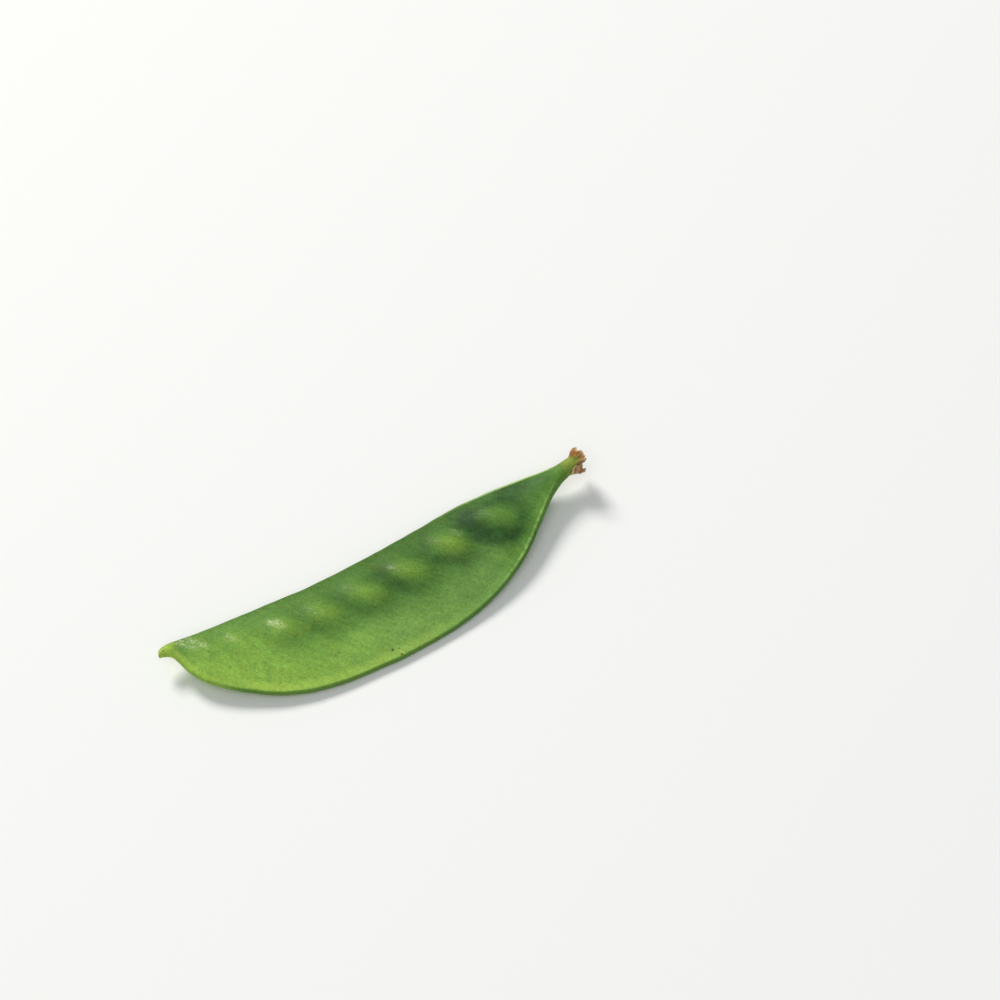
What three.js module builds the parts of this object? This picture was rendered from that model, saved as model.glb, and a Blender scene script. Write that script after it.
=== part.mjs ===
// A snow pea pod, picked and lying on its flat side.
//
// The pod is one grown piece: two thin valves joined along two seams, drawn out at one end into a
// short beak and at the other into a neck. Young seeds press eight low swellings into both valves,
// close to the straight seam. Round the end of the neck sits the withered calyx, a small ragged
// cup, and inside it the stub of the stalk.
//
// Millimetres. +X runs from the beak to the stalk, +Y from the curved seam to the straight seam,
// +Z up from the surface the pod lies on. The origin is under the middle of the whole object.
import * as THREE from "three";

// ---- Driving dimensions -----------------------------------------------------------------------

// One row for each rib of the pod, from the beak to the neck. A rib spans the two seams:
// straight seam x, y, curved seam x, y, half thickness, bluntness (0.5 is a round section,
// 0.8 a lens), radius of the rounded seam.
const RIBS = [
  [0.15, 0.75, -0.55, -0.9, 0.72, 0.5, 0.36],
  [1.0, 1.05, 0.4, -1.1, 0.92, 0.5, 0.44],
  [2.3, 1.15, 1.45, -1.7, 1.05, 0.5, 0.5],
  [4.4, 1.0, 2.1, -3.1, 1.15, 0.52, 0.58],
  [7.0, 0.85, 2.8, -5.5, 1.25, 0.55, 0.64],
  [10.2, 0.75, 4.15, -8.1, 1.4, 0.58, 0.68],
  [14.0, 0.65, 6.8, -11.1, 1.55, 0.6, 0.7],
  [19.0, 0.55, 11.0, -14.4, 1.65, 0.61, 0.7],
  [25.0, 0.4, 17.6, -18.3, 1.7, 0.61, 0.7],
  [32.0, 0.25, 26.0, -20.7, 1.75, 0.61, 0.7],
  [40.0, 0.55, 36.0, -21.45, 1.75, 0.61, 0.7],
  [48.0, 1.05, 46.0, -21.35, 1.75, 0.61, 0.7],
  [56.0, 1.7, 56.0, -20.2, 1.75, 0.61, 0.7],
  [64.0, 2.6, 65.0, -17.5, 1.75, 0.61, 0.7],
  [71.5, 2.65, 72.5, -13.4, 1.75, 0.61, 0.7],
  [78.0, 2.05, 78.5, -8.5, 1.7, 0.58, 0.7],
  [82.6, 1.3, 82.6, -5.1, 1.65, 0.55, 0.66],
  [85.8, 0.85, 85.6, -3.25, 1.55, 0.52, 0.58],
  [88.1, 0.75, 87.9, -2.3, 1.5, 0.5, 0.5],
  [88.7, 0.0, 88.6, -1.5, 0.75, 0.5, 0.3],
  [89.9, 0.05, 89.8, -1.4, 0.72, 0.5, 0.3],
];
const RINGS_PER_RIB = 5;
const RING_SIDES = 44;
const SEAM_BLEND = 4; // exponent of the soft join between a seam's bead and its valve
const BEAK_DOME = 0.4; // how far the rounded end of the beak reaches past the first rib
const BEAK_DOME_STEPS = [75, 50, 25].map(THREE.MathUtils.degToRad);

// Seeds: x, y, how far each one lifts the valve over it, and its size among the others.
const SEEDS = [
  [7.6, -3.4, 0.45, 0.95],
  [14.5, -4.5, 0.55, 1],
  [22.7, -5.5, 0.75, 1.05],
  [31.2, -6.5, 0.85, 1.05],
  [40.4, -6.6, 0.9, 1.05],
  [50.0, -6.1, 0.95, 1.05],
  [60.0, -5.0, 1.0, 1.05],
  [70.5, -4.1, 1.3, 1.2],
];
const SEED_LENGTH = 4.2; // half the long way of a swelling
const SEED_WIDTH = 3.0; // half the short way
const SEED_LEAN = THREE.MathUtils.degToRad(-40); // long way, from the x axis towards the curved seam
const SEED_TROUGH = 0.2; // depth of the dip round a swelling, as a share of its rise
const SEED_SPREAD = 2.8; // how much wider the dip reaches, as the square of a ratio
const SEED_FREE = [0.3, 2.6]; // distances from a seam between which a swelling comes to its full rise
const UNDERSIDE_RISE = 0.85; // a swelling's rise on the lower valve, as a share of the upper one's

// How the pod lies: tipped until the lower swellings and the curved seam both touch, with its two
// ends lifted by a slow bow and the neck turned a little.
const TIP_OVER = THREE.MathUtils.degToRad(5.6);
const BOW_MIDDLE = 46;
const BOW_POWER = 2.6;
const BEAK_LIFT = 1.8;
const NECK_LIFT = 2.6;
const NECK_TURN = THREE.MathUtils.degToRad(-9);
const NECK_TURN_SPAN = [50, 90]; // where along the pod the turn comes in
const FOOT_DEPTH = 0.26; // how much of the lowest points is worn flat where they rest

// Calyx and stalk, measured from the end of the neck along its axis. The calyx is a short sleeve
// round the neck's end that flares into a ragged bell of five withered lobes.
const CALYX_BACK = -1.0;
const CALYX_WALL = 0.62;
const CALYX_HOLE = 1.06; // inner radius of the sleeve
const CALYX_FLARE = THREE.MathUtils.degToRad(33); // slope of the bell
const CALYX_NOTCH = 2.4; // length of the wall in the notches between lobes
const CALYX_LOBES = [
  // angle round the axis (0 towards the straight seam, 90 up), length, half width, share of the
  // flare, bend of the tip
  [28, 3.3, 42, 1, -38],
  [100, 3.6, 37, 1, -30],
  [165, 2.9, 30, 0.3, 25],
  [222, 2.8, 32, 1, -10],
  [300, 3.1, 44, 1, -30],
];
const CALYX_LOBE_ROUND = 0.4; // exponent of a lobe's outline: low is blunt, high is pointed
const CALYX_BEND_ROUND = 0.7;
const CALYX_FLARE_SPAN = [0.2, 1.4]; // where along the wall the bell opens
const CALYX_BEND_START = 1.6; // where along the wall the lobes' own bend begins
const CALYX_CREASE_SPAN = [0.8, 2.4];
// Waves round the axis as [count, size, phase]: the torn rim, the bell's oval and its creases.
const CALYX_RIM_WAVES = [
  [13, 0.08, 1],
  [23, 0.06, 0],
];
const CALYX_OVAL_WAVES = [[2, 0.16, 0.6]];
const CALYX_CREASE_WAVES = [
  [9, 0.1, 0],
  [3, 0.1, 1],
];
const CALYX_SIDES = 88;
const CALYX_STEPS = 8;
const STALK_GAP = 0.32;
const STALK_RADIUS = 0.78;
const STALK_LENGTH = 2.1;
const STALK_TEAR_WAVES = [
  [3, 0.2, 0],
  [7, 0.1, 0],
];
const STALK_SIDES = 24;

// ---- Small helpers ----------------------------------------------------------------------------

const smooth = (a, b, x) => THREE.MathUtils.smoothstep(x, a, b);

// Sum of waves round the axis, each [count, size, phase], at an angle.
const waves = (list, angle) =>
  list.reduce((sum, [count, size, phase]) => sum + size * Math.sin(count * angle + phase), 0);

// A smooth curve through one group of columns of the rib table; t runs from 0 to 1 along the pod.
function ribCurve(columns) {
  const points = RIBS.map((rib) => new THREE.Vector3(...columns.map((c) => rib[c] ?? 0)));
  return new THREE.CatmullRomCurve3(points, false, "catmullrom", 0.5);
}

// A closed skin over rings of equal length, with its two ends fanned to a middle point.
function skinRings(rings, firstTip, lastTip) {
  const sides = rings[0].length;
  const position = [];
  rings.forEach((ring) => ring.forEach((p) => position.push(p.x, p.y, p.z)));
  const first = rings.length * sides;
  const last = first + 1;
  position.push(...firstTip.toArray(), ...lastTip.toArray());
  const index = [];
  for (let i = 0; i < rings.length - 1; i++) {
    for (let j = 0; j < sides; j++) {
      const k = (j + 1) % sides;
      const a = i * sides + j;
      const b = i * sides + k;
      const c = a + sides;
      const d = b + sides;
      index.push(a, b, d, a, d, c);
    }
  }
  for (let j = 0; j < sides; j++) {
    const k = (j + 1) % sides;
    const end = (rings.length - 1) * sides;
    index.push(first, k, j, last, end + j, end + k);
  }
  return bufferGeometry(position, index);
}

function bufferGeometry(position, index) {
  const geometry = new THREE.BufferGeometry();
  geometry.setAttribute("position", new THREE.Float32BufferAttribute(position, 3));
  geometry.setIndex(index);
  geometry.computeVertexNormals();
  return geometry;
}

// ---- The pod's surface ------------------------------------------------------------------------

const straightSeam = ribCurve([0, 1]);
const curvedSeam = ribCurve([2, 3]);
const section = ribCurve([4, 5, 6]);
const seamSamples = (curve) => curve.getPoints(RIBS.length * 8);
const straightLine = seamSamples(straightSeam);
const curvedLine = seamSamples(curvedSeam);

// Shortest distance in the plane of the pod from a point to a seam.
function distanceTo(line, x, y) {
  let best = Infinity;
  for (let i = 0; i < line.length - 1; i++) {
    const p = line[i];
    const q = line[i + 1];
    const dx = q.x - p.x;
    const dy = q.y - p.y;
    const s = THREE.MathUtils.clamp(((x - p.x) * dx + (y - p.y) * dy) / (dx * dx + dy * dy), 0, 1);
    best = Math.min(best, Math.hypot(x - p.x - s * dx, y - p.y - s * dy));
  }
  return best;
}

// Height of a rounded seam of radius r at distance d from its edge. It runs on level past the
// round, so that no furrow is left behind it.
const bead = (d, r) => Math.sqrt(r * r - Math.max(r - d, 0) ** 2);

// Lift of the valve by the seeds at a point of the pod's plane.
function seedLift(x, y) {
  let lift = 0;
  for (const [seedX, seedY, rise, size] of SEEDS) {
    const along = (x - seedX) * Math.cos(SEED_LEAN) + (y - seedY) * Math.sin(SEED_LEAN);
    const across = (y - seedY) * Math.cos(SEED_LEAN) - (x - seedX) * Math.sin(SEED_LEAN);
    const r2 = ((along / SEED_LENGTH) ** 2 + (across / SEED_WIDTH) ** 2) / size ** 2;
    const dip = SEED_TROUGH * Math.exp(-r2 / SEED_SPREAD);
    lift += rise * ((1 + SEED_TROUGH) * Math.exp(-r2) - dip);
  }
  return lift;
}

// A point of the skin: t along the pod, angle round the section from the straight seam over the top.
function podPoint(t, angle) {
  const v = straightSeam.getPoint(t);
  const d = curvedSeam.getPoint(t);
  const { x: half, y: blunt, z: radius } = section.getPoint(t);
  const middle = v.clone().add(d).multiplyScalar(0.5);
  const reach = v.clone().sub(d).multiplyScalar(0.5);
  const w = (1 - Math.cos(angle)) / 2;
  const x = middle.x + reach.x * Math.cos(angle);
  const y = middle.y + reach.y * Math.cos(angle);
  const valve = half * (4 * w * (1 - w)) ** blunt;
  const edge = Math.min(distanceTo(straightLine, x, y), distanceTo(curvedLine, x, y));
  const shell = (valve ** SEAM_BLEND + bead(edge, radius) ** SEAM_BLEND) ** (1 / SEAM_BLEND);
  const over = Math.sin(angle) > 0;
  const lift = seedLift(x, y) * smooth(...SEED_FREE, edge) * (over ? 1 : UNDERSIDE_RISE);
  const height = Math.abs(Math.sin(angle)) < 1e-9 ? 0 : (over ? 1 : -1) * (shell + lift);
  return layDown(x, y, middle.y, height);
}

// Takes a point of the flat pod, with its height over the middle plane, to how the pod lies.
function layDown(x, y, middleY, height) {
  const end = x < BOW_MIDDLE ? 0 : RIBS.at(-1)[0];
  const lift = x < BOW_MIDDLE ? BEAK_LIFT : NECK_LIFT;
  const bow = lift * ((x - BOW_MIDDLE) / (end - BOW_MIDDLE)) ** BOW_POWER;
  const turn = NECK_TURN * smooth(...NECK_TURN_SPAN, x);
  const offset = y - middleY;
  const y1 = middleY + offset * Math.cos(turn) - height * Math.sin(turn);
  const z1 = bow + offset * Math.sin(turn) + height * Math.cos(turn);
  return new THREE.Vector3(
    x,
    y1 * Math.cos(TIP_OVER) - z1 * Math.sin(TIP_OVER),
    y1 * Math.sin(TIP_OVER) + z1 * Math.cos(TIP_OVER),
  );
}

function podRing(t) {
  return Array.from({ length: RING_SIDES }, (_, j) => podPoint(t, (j / RING_SIDES) * 2 * Math.PI));
}

const middleOf = (ring) =>
  ring.reduce((sum, p) => sum.add(p), new THREE.Vector3()).multiplyScalar(1 / ring.length);

function podRings() {
  const steps = (RIBS.length - 1) * RINGS_PER_RIB;
  const rings = Array.from({ length: steps + 1 }, (_, i) => podRing(i / steps));
  // The beak closes in a low dome.
  const start = middleOf(rings[0]);
  const out = start.clone().sub(middleOf(rings[2])).normalize();
  const dome = BEAK_DOME_STEPS.map((a) =>
    rings[0].map((p) =>
      start.clone().lerp(p, Math.cos(a)).addScaledVector(out, BEAK_DOME * Math.sin(a)),
    ),
  );
  return { rings: [...dome, ...rings], beakTip: start.clone().addScaledVector(out, BEAK_DOME) };
}

// ---- Calyx and stalk, along +X from the end of the neck ------------------------------------------

// How long the calyx wall is at an angle round the axis, its share of the flare, and how far its
// tip bends outwards.
function lobeAt(degrees) {
  let share = 0;
  let length = CALYX_NOTCH;
  let flare = 1;
  let bend = 0;
  for (const [angle, lobeLength, halfWidth, lobeFlare, lobeBend] of CALYX_LOBES) {
    const away = Math.abs(THREE.MathUtils.euclideanModulo(degrees - angle + 180, 360) - 180);
    const near = Math.max(0, 1 - (away / halfWidth) ** 2);
    if (near > share) {
      share = near;
      length = CALYX_NOTCH + (lobeLength - CALYX_NOTCH) * near ** CALYX_LOBE_ROUND;
      flare = 1 + (lobeFlare - 1) * near ** CALYX_BEND_ROUND;
      bend = THREE.MathUtils.degToRad(lobeBend) * near ** CALYX_BEND_ROUND;
    }
  }
  const ragged = waves(CALYX_RIM_WAVES, THREE.MathUtils.degToRad(degrees));
  return { length: length + ragged, flare: CALYX_FLARE * flare, bend };
}

// Middle line of the calyx wall at one angle round the axis: points with x, r and slope.
function calyxLine(degrees) {
  const { length, flare, bend } = lobeAt(degrees);
  const a = THREE.MathUtils.degToRad(degrees);
  const oval = 1 + waves(CALYX_OVAL_WAVES, a);
  const crease = waves(CALYX_CREASE_WAVES, a);
  const step = length / CALYX_STEPS;
  const line = [];
  let x = CALYX_BACK;
  let r = CALYX_HOLE + CALYX_WALL / 2;
  for (let i = 0; i <= CALYX_STEPS; i++) {
    const along = i * step;
    const opened = smooth(...CALYX_FLARE_SPAN, along);
    const slope = flare * oval * opened + bend * smooth(CALYX_BEND_START, length, along);
    line.push({ x, r: r + crease * smooth(...CALYX_CREASE_SPAN, along), slope });
    x += step * Math.cos(slope);
    r += step * Math.sin(slope);
  }
  return line;
}

function calyxGeometry() {
  // The section runs along the inside to the rim and back over the outside.
  const position = [];
  const index = [];
  const loop = 2 * CALYX_STEPS + 2;
  for (let i = 0; i < CALYX_SIDES; i++) {
    const degrees = (i / CALYX_SIDES) * 360;
    const a = THREE.MathUtils.degToRad(degrees);
    const line = calyxLine(degrees);
    for (let j = 0; j < loop; j++) {
      const inside = j <= CALYX_STEPS;
      const { x, r, slope } = line[inside ? j : loop - 1 - j];
      const off = (inside ? -0.5 : 0.5) * CALYX_WALL;
      const radius = r + off * Math.cos(slope);
      position.push(x - off * Math.sin(slope), radius * Math.cos(a), radius * Math.sin(a));
    }
  }
  for (let i = 0; i < CALYX_SIDES; i++) {
    for (let j = 0; j < loop; j++) {
      const a = i * loop + j;
      const b = i * loop + ((j + 1) % loop);
      const c = ((i + 1) % CALYX_SIDES) * loop + j;
      const d = ((i + 1) % CALYX_SIDES) * loop + ((j + 1) % loop);
      index.push(a, b, d, a, d, c);
    }
  }
  return bufferGeometry(position, index);
}

// The stub of the stalk, snapped off with a torn end.
function stalkGeometry() {
  const profile = [
    [0, STALK_RADIUS * 0.85],
    [0.2, STALK_RADIUS],
    [STALK_LENGTH * 0.5, STALK_RADIUS * 0.94],
    [STALK_LENGTH - 0.35, STALK_RADIUS],
    [STALK_LENGTH, STALK_RADIUS * 0.8],
  ];
  const rings = profile.map(([x, r], i) =>
    Array.from({ length: STALK_SIDES }, (_, j) => {
      const a = (j / STALK_SIDES) * 2 * Math.PI;
      const torn = i === profile.length - 1 ? waves(STALK_TEAR_WAVES, a) : 0;
      return new THREE.Vector3(x + torn, r * Math.cos(a), r * Math.sin(a));
    }),
  );
  return skinRings(rings, new THREE.Vector3(), new THREE.Vector3(STALK_LENGTH - 0.2, 0, 0));
}

// ---- The object -------------------------------------------------------------------------------

const { rings, beakTip } = podRings();
const neckEnd = middleOf(rings.at(-1));
const neckAxis = neckEnd.clone().sub(middleOf(rings.at(-1 - 2 * RINGS_PER_RIB))).normalize();

// Rests the pod on its lowest points, each worn to a small flat foot.
const lowest = Math.min(...rings.flat().map((p) => p.z));
const floor = lowest + FOOT_DEPTH;
rings.flat().forEach((p) => {
  p.z = Math.max(p.z, floor);
});

const pod = new THREE.Mesh(
  skinRings(rings, beakTip, neckEnd),
  new THREE.MeshStandardMaterial({ color: 0x5d9a3c, roughness: 0.42, metalness: 0 }),
);
pod.name = "pod";

const calyx = new THREE.Mesh(
  calyxGeometry(),
  new THREE.MeshStandardMaterial({ color: 0x8f5f3a, roughness: 0.85, metalness: 0 }),
);
calyx.name = "calyx";

const stalk = new THREE.Mesh(
  stalkGeometry(),
  new THREE.MeshStandardMaterial({ color: 0xa58a58, roughness: 0.8, metalness: 0 }),
);
stalk.name = "stalk";
stalk.position.x = STALK_GAP;

// The calyx and the stalk share the neck's axis, with their own +Y towards the straight seam.
const stem = new THREE.Group();
const side = rings.at(-1)[0].clone().sub(neckEnd).projectOnPlane(neckAxis).normalize();
const up = neckAxis.clone().cross(side);
stem.position.copy(neckEnd);
stem.quaternion.setFromRotationMatrix(new THREE.Matrix4().makeBasis(neckAxis, side, up));
stem.add(calyx, stalk);

// Moves everything so that the origin is under the middle of the object's box.
const snowPea = new THREE.Group();
const whole = new THREE.Group();
whole.add(pod, stem);
const box = new THREE.Box3().setFromObject(whole, true);
const centre = box.getCenter(new THREE.Vector3());
whole.position.set(-centre.x, -centre.y, -box.min.z);
snowPea.add(whole);

export default snowPea;
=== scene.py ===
# %% [markdown]
# # A snow pea pod, from a few numbers to a finished surface
#
# The real thing is one grown pod: two thin valves joined along two seams, with a short beak at
# one end and a neck at the other. Round the neck sits a withered calyx, with the stub of the
# stalk inside it. A coarse, exact model of these three pieces comes in as the frame. This lesson
# builds finer skins of the same form over it, then gives each one its own procedural finish.
#
# Everything is in metres in the end. The form is worked out in millimetres, because that is how
# a pod is measured by hand.

# %% Load the frame
import math

import bmesh
import bpy
import numpy as np
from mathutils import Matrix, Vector, noise


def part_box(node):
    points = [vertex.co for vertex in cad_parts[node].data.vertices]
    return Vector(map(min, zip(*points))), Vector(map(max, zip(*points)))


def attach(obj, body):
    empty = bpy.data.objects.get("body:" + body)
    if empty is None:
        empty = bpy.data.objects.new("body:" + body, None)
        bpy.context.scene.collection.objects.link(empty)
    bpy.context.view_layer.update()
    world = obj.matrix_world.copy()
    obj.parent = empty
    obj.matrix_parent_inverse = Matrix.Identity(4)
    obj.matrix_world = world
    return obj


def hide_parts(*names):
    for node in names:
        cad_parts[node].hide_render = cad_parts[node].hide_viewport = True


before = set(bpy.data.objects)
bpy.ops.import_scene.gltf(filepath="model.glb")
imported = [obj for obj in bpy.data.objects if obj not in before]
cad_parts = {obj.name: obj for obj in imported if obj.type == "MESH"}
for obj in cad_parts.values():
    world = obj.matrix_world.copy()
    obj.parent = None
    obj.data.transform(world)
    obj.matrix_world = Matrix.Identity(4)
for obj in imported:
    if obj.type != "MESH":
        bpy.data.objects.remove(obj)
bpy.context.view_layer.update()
MM = 0.001
print("frame nodes:", sorted(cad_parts))

# %% [markdown]
# ## The ribs of the pod
#
# A lens-shaped pod could be sculpted, or lofted over a few sections. A loft is the better way
# here, because a pod really grows as two seams with a thin wall spanned between them. Each rib
# names where it meets the two seams, how thick it is, how blunt its section is, and how big the
# rounded bead of the seam is. A smooth curve through the ribs does the rest.

# %% Ribs and seeds
# Straight seam x, y, curved seam x, y, half thickness, bluntness (0.5 is round, 0.8 a lens),
# radius of the seam's bead. Millimetres, from the beak to the neck.
RIBS = np.array([
    [0.15, 0.75, -0.55, -0.9, 0.72, 0.5, 0.36],
    [1.0, 1.05, 0.4, -1.1, 0.92, 0.5, 0.44],
    [2.3, 1.15, 1.45, -1.7, 1.05, 0.5, 0.5],
    [4.4, 1.0, 2.1, -3.1, 1.15, 0.52, 0.58],
    [7.0, 0.85, 2.8, -5.5, 1.25, 0.55, 0.64],
    [10.2, 0.75, 4.15, -8.1, 1.4, 0.58, 0.68],
    [14.0, 0.65, 6.8, -11.1, 1.55, 0.6, 0.7],
    [19.0, 0.55, 11.0, -14.4, 1.65, 0.61, 0.7],
    [25.0, 0.4, 17.6, -18.3, 1.7, 0.61, 0.7],
    [32.0, 0.25, 26.0, -20.7, 1.75, 0.61, 0.7],
    [40.0, 0.55, 36.0, -21.45, 1.75, 0.61, 0.7],
    [48.0, 1.05, 46.0, -21.35, 1.75, 0.61, 0.7],
    [56.0, 1.7, 56.0, -20.2, 1.75, 0.61, 0.7],
    [64.0, 2.6, 65.0, -17.5, 1.75, 0.61, 0.7],
    [71.5, 2.65, 72.5, -13.4, 1.75, 0.61, 0.7],
    [78.0, 2.05, 78.5, -8.5, 1.7, 0.58, 0.7],
    [82.6, 1.3, 82.6, -5.1, 1.65, 0.55, 0.66],
    [85.8, 0.85, 85.6, -3.25, 1.55, 0.52, 0.58],
    [88.1, 0.75, 87.9, -2.3, 1.5, 0.5, 0.5],
    [88.7, 0.0, 88.6, -1.5, 0.75, 0.5, 0.3],
    [89.9, 0.05, 89.8, -1.4, 0.72, 0.5, 0.3],
])
SEAM_BLEND = 4
BEAK_DOME = 0.4

# Seeds: x, y, how far each one lifts the valve over it, and its size among the others.
SEEDS = [
    (7.6, -3.4, 0.45, 0.95),
    (14.5, -4.5, 0.55, 1),
    (22.7, -5.5, 0.75, 1.05),
    (31.2, -6.5, 0.85, 1.05),
    (40.4, -6.6, 0.9, 1.05),
    (50.0, -6.1, 0.95, 1.05),
    (60.0, -5.0, 1.0, 1.05),
    (70.5, -4.1, 1.3, 1.2),
]
SEED_LENGTH = 4.2
SEED_WIDTH = 3.0
SEED_LEAN = math.radians(-40)
SEED_TROUGH = 0.2
SEED_SPREAD = 2.8
SEED_FREE = (0.3, 2.6)
UNDERSIDE_RISE = 0.85
print(len(RIBS), "ribs,", len(SEEDS), "seeds")


# %% Smooth curves through the ribs
def smooth(start, end, value):
    """0 below start, 1 above end, with soft shoulders."""
    share = np.clip((value - start) / (end - start), 0, 1)
    return share * share * (3 - 2 * share)


def rib_rows(t):
    """Rows of the rib table at t from 0 (beak) to 1 (neck), on Catmull-Rom curves."""
    last = len(RIBS) - 1
    rows = np.vstack([2 * RIBS[0] - RIBS[1], RIBS, 2 * RIBS[-1] - RIBS[-2]])
    place = np.clip(t * last, 0, last - 1e-9)
    first = place.astype(int)
    s = (place - first)[:, None]
    p0, p1, p2, p3 = (rows[first + k] for k in range(4))
    v1 = (p2 - p0) / 2
    v2 = (p3 - p1) / 2
    cubic = 2 * p1 - 2 * p2 + v1 + v2
    square = -3 * p1 + 3 * p2 - 2 * v1 - v2
    return cubic * s**3 + square * s**2 + v1 * s + p1


SEAM_SAMPLES = 700  # close together, so that the beads come out round
seam_samples = rib_rows(np.linspace(0, 1, SEAM_SAMPLES))
straight_line = seam_samples[:, 0:2]
curved_line = seam_samples[:, 2:4]


def distance_to(line, x, y):
    """Shortest distance in the plane of the pod to a seam."""
    best = np.full(x.shape, np.inf)
    for (px, py), (qx, qy) in zip(line[:-1], line[1:]):
        dx = qx - px
        dy = qy - py
        s = np.clip(((x - px) * dx + (y - py) * dy) / (dx * dx + dy * dy), 0, 1)
        best = np.minimum(best, np.hypot(x - px - s * dx, y - py - s * dy))
    return best


seam_length = float(np.hypot(*np.diff(straight_line, axis=0).T).sum())
print("straight seam", round(seam_length, 1), "mm long")


# %% [markdown]
# ## Rings of points
#
# The ribs stand close together at the beak and far apart along the belly. Rings placed evenly
# by rib number would crowd the beak and leave the belly coarse, so they are spaced by the true
# length of the longer seam instead.

# %% Even rings
RING_COUNT = 380
RING_SIDES = 240
WALK_SAMPLES = 3001


def even_places(count):
    """Values of t whose rings are evenly spaced along the longer seam."""
    t = np.linspace(0, 1, WALK_SAMPLES)
    rows = rib_rows(t)
    straight_steps = np.hypot(*np.diff(rows[:, 0:2], axis=0).T)
    curved_steps = np.hypot(*np.diff(rows[:, 2:4], axis=0).T)
    steps = np.maximum(straight_steps, curved_steps)
    walked = np.concatenate([[0], np.cumsum(steps)])
    return np.interp(np.linspace(0, walked[-1], count), walked, t)


ring_places = even_places(RING_COUNT)
print(RING_COUNT, "rings of", RING_SIDES, "points")


# %% [markdown]
# ## The skin over the ribs
#
# A section runs from the straight seam over the upper valve to the curved seam and back
# underneath. Three things add up to its height: the lens of the valve, the rounded bead of a
# seam, and the low swelling over each seed. A swelling leans, and has a shallow dip round it
# where the wall is drawn down between two seeds. Shade is painted into the skin's colour in the
# dip, most of all on the side towards the beak and the curved seam. Light is painted along the
# swelling's ridge as a paler, yellower green. So how far a point is in a dip or on a ridge is
# worked out here too, and kept for the finish.

# %% Seed swellings
DIP_AT = 1.2  # distance of the dip from a seed's middle, where 1 is the swelling's own edge
DIP_WIDTH = 0.65
DIP_POWER = 1.5  # a high swelling has a dip that is deeper still
DIP_ALL_ROUND = 0.4  # share of the dip that runs all round a seed
HIGH_SEED = 1.0  # millimetres; higher seeds than this have more of their dip all round
DIP_ROUND_RISE = 0.65  # how much more, per millimetre
# Painted shade is deepest on this side of each seed.
SHADED_SIDE = (-0.47, -0.88)  # direction of the deepest side, as x and y
SEED_MIDDLE = 0.1  # nearer to a seed's middle than this, no side is the deepest
RIDGE_LENGTH = 3.3  # half length and half width of the narrow ridge
RIDGE_WIDTH = 1.9


def seed_marks(x, y):
    """Seed lift, and the painted shade in their dips and painted light on their ridges."""
    lift = np.zeros(x.shape)
    dip = np.zeros(x.shape)
    ridge = np.zeros(x.shape)
    for seed_x, seed_y, rise, size in SEEDS:
        dx = x - seed_x
        dy = y - seed_y
        along = dx * math.cos(SEED_LEAN) + dy * math.sin(SEED_LEAN)
        across = dy * math.cos(SEED_LEAN) - dx * math.sin(SEED_LEAN)
        r2 = ((along / SEED_LENGTH) ** 2 + (across / SEED_WIDTH) ** 2) / size**2
        lift += rise * ((1 + SEED_TROUGH) * np.exp(-r2) - SEED_TROUGH * np.exp(-r2 / SEED_SPREAD))
        # Painted shade in a ring round each seed, deepest on one side.
        facing = dx * SHADED_SIDE[0] + dy * SHADED_SIDE[1]
        facing = facing / np.maximum(np.hypot(dx, dy), SEED_MIDDLE)
        ring = np.exp(-(((np.sqrt(r2) - DIP_AT) / DIP_WIDTH) ** 2))
        all_round = DIP_ALL_ROUND + max(rise - HIGH_SEED, 0) * DIP_ROUND_RISE
        reach = np.clip(all_round + (1 - all_round) * facing, 0, 1)
        dip = np.maximum(dip, rise**DIP_POWER * ring * reach)
        # Painted light along the ridge of each seed.
        narrow2 = (along / RIDGE_LENGTH) ** 2 + (across / RIDGE_WIDTH) ** 2
        ridge = np.maximum(ridge, min(rise, 1) * np.exp(-narrow2))
    return lift, dip, ridge


def noise_field(x, y, z, size, seed):
    """Smooth noise from about -1 to 1 over points in millimetres, with features of that size."""
    points = np.stack(np.broadcast_arrays(x / size + seed, y / size - seed, z / size), -1)
    values = np.array([noise.noise(Vector(p)) for p in points.reshape(-1, 3)])
    return values.reshape(points.shape[:-1])


print("highest swelling", max(rise for _, _, rise, _ in SEEDS), "mm")

# %% Sections of the skin
WOBBLE = 0.1  # how far a grown valve strays from the smooth loft
WOBBLE_SIZE = 6.0
PUCKER = 0.05  # finer unevenness of the skin, most of it over the seeds
PUCKER_SIZE = 1.7
WANDER = 0.09  # how far a seam strays to either side of its smooth curve
WANDER_SIZE = 3.6
WANDER_REACH = 3.0
GROOVE = 0.03  # the line along the middle of each seam where the two valves meet
GROOVE_WIDTH = 0.13
GROWN_BEAD = (0.4, 0.68)  # radii of a bead between which it gets its groove and its wander
RELIEF_FREE = (0.5, 4.0)  # distances from a seam between which the skin gets its unevenness
PUCKER_LEAST = 0.35  # share of the pucker that is there away from the seeds
PUCKER_LIFT = (0.1, 0.7)
UNDERSIDE_AWAY = 40.0  # the underside takes its noise from this far off, so the valves differ
WOBBLE_SEED = 3.1
PUCKER_SEED = 8.7
WANDER_SEED = 5.3


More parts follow.
